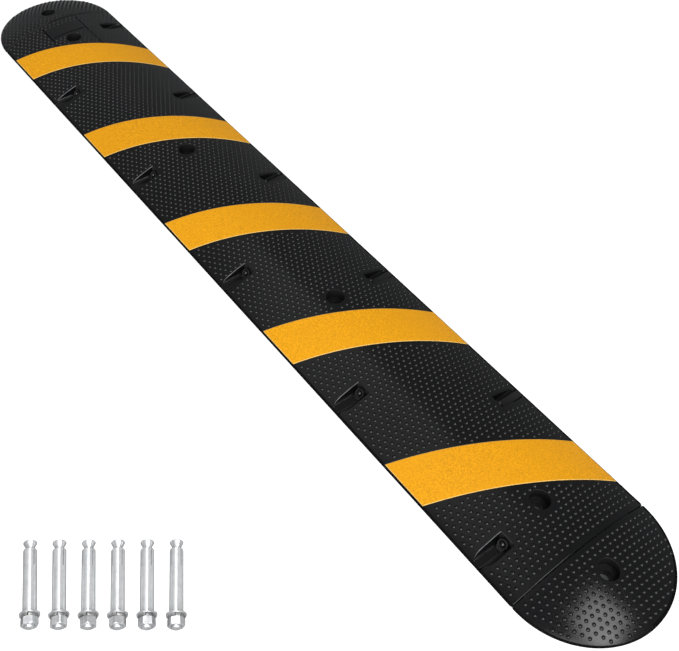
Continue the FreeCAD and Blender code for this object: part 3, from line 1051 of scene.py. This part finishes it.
def build_strip(node, x_centre):
    half = STRIP_WIDTH / 2
    across = [-half + distance for distance in FILM_SOFT]
    across += [-half + FILM_FLAT + (STRIP_WIDTH - 2 * FILM_FLAT) * step / 12 for step in range(1, 12)]
    across += [-x for x in reversed(across[:len(FILM_SOFT)])]
    rings = []
    for y, end_distance in strip_stations():
        x = x_centre + STRIP_SLANT * y
        ring = [(x + half, y, crown(y) - STRIP_SUNK), (x - half, y, crown(y) - STRIP_SUNK)]
        for dx in across:
            lift = min(film_height(half - abs(dx)), film_height(end_distance))
            ring.append((x + dx, y, crown(y) + lift))
        rings.append(ring)
    piece = make_object(node.replace("yellow", "film"), *loft(rings))
    finish_piece(piece, "bump", [film, film_painted_edge_highlight], node)
    for face in piece.data.polygons:
        x, y = face.center.x / MM, face.center.y / MM
        inward = min(half - abs(x - x_centre - STRIP_SLANT * y), STRIP_END - abs(y))
        # the thin band along the edge takes the paler film, a painted highlight
        if inward < FILM_HIGHLIGHT_WIDTH:
            face.material_index = 1


for name, centre in strips:
    build_strip(name, centre)


# ---- reflector beads ----
LENS_SEGMENTS = 40
SILVERED_BANDS = 5         # bands of faces from the back end on


def build_bead(node, x, side):
    """Cat's-eye lens: a domed glass front and a smaller silvered back, with a waist between."""
    profile = [(-COLLAR_DISH - 4.6, 0), (-COLLAR_DISH - 4.4, 1.4), (-COLLAR_DISH - 3.7, 2.6),
               (-COLLAR_DISH - 2.4, 3.6), (-COLLAR_DISH - 1.0, 4.1), (-COLLAR_DISH - 0.5, 4.15),
               (-COLLAR_DISH - 0.3, 4.7)]
    for step in range(9):
        angle = math.radians(90 * step / 8)
        radius = BEAD_RADIUS * math.cos(angle) if step < 8 else 0
        profile.append((-COLLAR_DISH + BEAD_RADIUS * math.sin(angle), radius))
    shell = lathe(profile, collar_place(x, side), LENS_SEGMENTS)
    piece = make_object(node.replace("cat_eye_bead", "lens"), *shell)
    finish_piece(piece, "bump", [glass, silver], node, sharp=40)
    for face in piece.data.polygons[:LENS_SEGMENTS * SILVERED_BANDS]:
        face.material_index = 1


for name, x, side in pockets:
    build_bead(name, x, side)


# ---- expansion anchors ----
THREAD_PITCH = 2.0
THREAD_RADIUS = 7.95
THREAD_DEPTH = 1.15
THREAD_START = 96.0
STUD_LENGTH = 145.5
SLEEVE_START = 13.0
SLEEVE_END = 122.5
SLEEVE_RADIUS = 11.0
SLEEVE_BORE = 8.4
SLIT_WIDTH = 1.8
SLIT_LENGTH = 31.0
WASHER_RADIUS = 16.0
WASHER_BORE = 8.6
WASHER_THICKNESS = 3.0
SPRING_RADIUS = 13.4
SPRING_BORE = 8.5
SPRING_THICKNESS = 4.0
SPRING_RISE = 0.8
NUT_FLAT = 12.0
NUT_THICKNESS = 13.0
NUT_BORE = 8.05
NUT_MOUTH = 9.0
NUT_LEAD = 0.8             # depth of the bore's countersunk ends
NUT_TURN = 12.0


def anchor_frame(number):
    """Origin at the cone's end, Z along the anchor and X level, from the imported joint."""
    joint = next(j for j in frame["joints"] if j["name"] == "anchor_%d_nut_turn" % number)
    axis = Vector(joint["axis"]).normalized()
    point = Vector(joint["pos_m"])
    stud = nodes["anchor_%d_cone_stud" % number]
    nearest = min((vertex.co - point).dot(axis) for vertex in stud.data.vertices)
    level = Vector((0, 0, 1)).cross(axis).normalized()
    turned = Matrix((level, axis.cross(level), axis)).transposed().to_4x4()
    return Matrix.Translation((point + axis * nearest) / MM) @ turned


def ring_shell(profile, place, segments):
    """Closed ring of revolution from a closed loop of (along, radius) points."""
    return closed_tube([circle(place, radius, along, segments) for along, radius in profile])


def soft_tube(start, end, bore, outer, soft):
    """Profile of a tube with softened edges."""
    return [(start, bore + soft), (start, outer - soft), (start + soft * 0.3, outer - soft * 0.3),
            (start + soft, outer), (end - soft, outer), (end - soft * 0.3, outer - soft * 0.3),
            (end, outer - soft), (end, bore + soft), (end - soft, bore), (start + soft, bore)]


def thread_radius(along, turn):
    """Radius of the M16 thread, fading in at its start and cut back by the end chamfer."""
    phase = (along / THREAD_PITCH - turn) % 1.0
    rise = min(abs(phase - 0.5) * 2, 1.0)
    groove = min(max((0.86 - rise) / 0.70, 0.0), 1.0)
    fade = min(max((along - THREAD_START) / 3.0, 0.0), 1.0)
    chamfer = min(THREAD_RADIUS, THREAD_RADIUS - 1.4 + (STUD_LENGTH - along))
    return min(THREAD_RADIUS - THREAD_DEPTH * groove * fade, chamfer)


def build_stud(number, place):
    segments = 36
    plain = [(0, 0), (0, 7.4), (0.0, 10.4), (0.2, 10.8), (0.6, 11.0), (1.4, 11.0), (1.8, 10.8), (10.6, 6.45),
             (11.2, 6.3), (21.8, 6.3), (22.2, 6.5), (23.0, 7.8), (23.4, THREAD_RADIUS), (60, THREAD_RADIUS)]
    points, faces = lathe(plain, place, segments)
    rings = [range(len(points) - segments, len(points))]
    steps = int((STUD_LENGTH - THREAD_START) / (THREAD_PITCH / 8))
    for step in range(steps + 1):
        along = THREAD_START + (STUD_LENGTH - THREAD_START) * step / steps
        rings.append(range(len(points), len(points) + segments))
        for index in range(segments):
            turn = index / segments
            radius = thread_radius(along, turn)
            angle = 2 * math.pi * turn
            points.append(place @ Vector((radius * math.cos(angle), radius * math.sin(angle), along)))
    rings.append([len(points)])
    points.append(place @ Vector((0, 0, STUD_LENGTH)))
    return make_object("threaded_stud_%d" % number, points, faces + bands(rings))


def slit_cutter(place, angle):
    """One slit of a sleeve, with a round end."""
    turned = place @ Matrix.Rotation(math.radians(angle), 4, "Z")
    half = SLIT_WIDTH / 2
    end = SLEEVE_START + SLIT_LENGTH
    outline = [(-half, SLEEVE_START - 2), (half, SLEEVE_START - 2)]
    outline += [(half * math.cos(math.radians(a)), end + half * math.sin(math.radians(a)))
                for a in range(0, 181, 30)]
    return loft([[turned @ Vector((reach, across, along)) for across, along in outline]
                 for reach in (SLEEVE_BORE - 2, SLEEVE_RADIUS + 2)])


def build_sleeve(number, place):
    profile = soft_tube(SLEEVE_START, SLEEVE_END, SLEEVE_BORE, SLEEVE_RADIUS, 0.5)
    profile[1:4] = [(SLEEVE_START, SLEEVE_RADIUS - 1.3), (SLEEVE_START + 0.7, SLEEVE_RADIUS - 0.7),
                    (SLEEVE_START + 2.4, SLEEVE_RADIUS)]
    piece = make_object("split_sleeve_%d" % number, *ring_shell(profile, place, 56))
    combine(piece, "DIFFERENCE", [slit_cutter(place, angle) for angle in (45, 135, 225, 315)])
    return piece


def build_spring(number, place):
    """Split ring whose two ends stand a little apart, as on an open spring washer."""
    start = SLEEVE_END + WASHER_THICKNESS
    flat = SPRING_THICKNESS - SPRING_RISE
    rings = []
    for step in range(61):
        share = step / 60
        angle = math.radians(94 + 352 * share)
        along = start + SPRING_RISE * share
        out = Vector((math.cos(angle), math.sin(angle), 0))
        section = [(SPRING_BORE, 0.3), (SPRING_BORE + 0.3, 0), (SPRING_RADIUS - 0.3, 0), (SPRING_RADIUS, 0.3),
                   (SPRING_RADIUS, flat - 0.3), (SPRING_RADIUS - 0.3, flat), (SPRING_BORE + 0.3, flat),
                   (SPRING_BORE, flat - 0.3)]
        rings.append([place @ (out * radius + Vector((0, 0, along + lift))) for radius, lift in section])
    return make_object("spring_ring_%d" % number, *loft(rings))


def nut_radius(angle, depth):
    """Outer radius of the nut at an angle from a corner and a depth below its nearer face."""
    swing = math.radians((angle + 30) % 60 - 30)
    hexagon = NUT_FLAT / math.cos(math.radians(30) - abs(swing))
    return min(hexagon, NUT_FLAT - 0.3 + depth / math.tan(math.radians(30)))


def build_nut(number, place):
    start = SLEEVE_END + WASHER_THICKNESS + SPRING_THICKNESS
    segments = 72
    depths = [0, 0.2, 0.4, 0.65, 0.9, 1.2, 1.5]
    levels = [(depth, depth) for depth in depths]
    levels += [(NUT_THICKNESS - depth, depth) for depth in reversed(depths)]
    rings = []
    for along, depth in levels:
        ring = []
        for index in range(segments):
            angle = 360 * index / segments
            radius = nut_radius(angle - NUT_TURN * (number - 1), depth)
            out = Vector((math.cos(math.radians(angle)), math.sin(math.radians(angle)), 0))
            ring.append(place @ (out * radius + Vector((0, 0, start + along))))
        rings.append(ring)
    for along, radius in ((NUT_THICKNESS, NUT_MOUTH), (NUT_THICKNESS - NUT_LEAD, NUT_BORE),
                          (NUT_LEAD, NUT_BORE), (0, NUT_MOUTH)):
        rings.append(circle(place, radius, start + along, segments))
    return make_object("hex_nut_%d" % number, *closed_tube(rings))


for number in range(1, 7):
    place = anchor_frame(number)
    node = "anchor_%d_" % number
    washer_shape = soft_tube(SLEEVE_END, SLEEVE_END + WASHER_THICKNESS, WASHER_BORE, WASHER_RADIUS, 0.4)
    washer = make_object("flat_washer_%d" % number, *ring_shell(washer_shape, place, 64))
    for piece, body_name, slot, material, replaced, sharp in (
            (build_stud(number, place), "bump", "zinc_plated_steel", zinc_turned, "cone_stud", 38),
            (build_sleeve(number, place), "bump", "zinc_plated_steel", zinc, "expansion_sleeve", 38),
            (washer, node + "washers", "zinc_plated_steel", zinc_turned, "flat_washer", 38),
            (build_spring(number, place), node + "washers", "spring_steel", spring_steel,
             "spring_washer", 38),
            (build_nut(number, place), node + "nut", "zinc_plated_steel", zinc_turned, "hex_nut", 24)):
        finish_piece(piece, body_name, [material], node + replaced, sharp)
        loose_anchors.objects.link(piece)
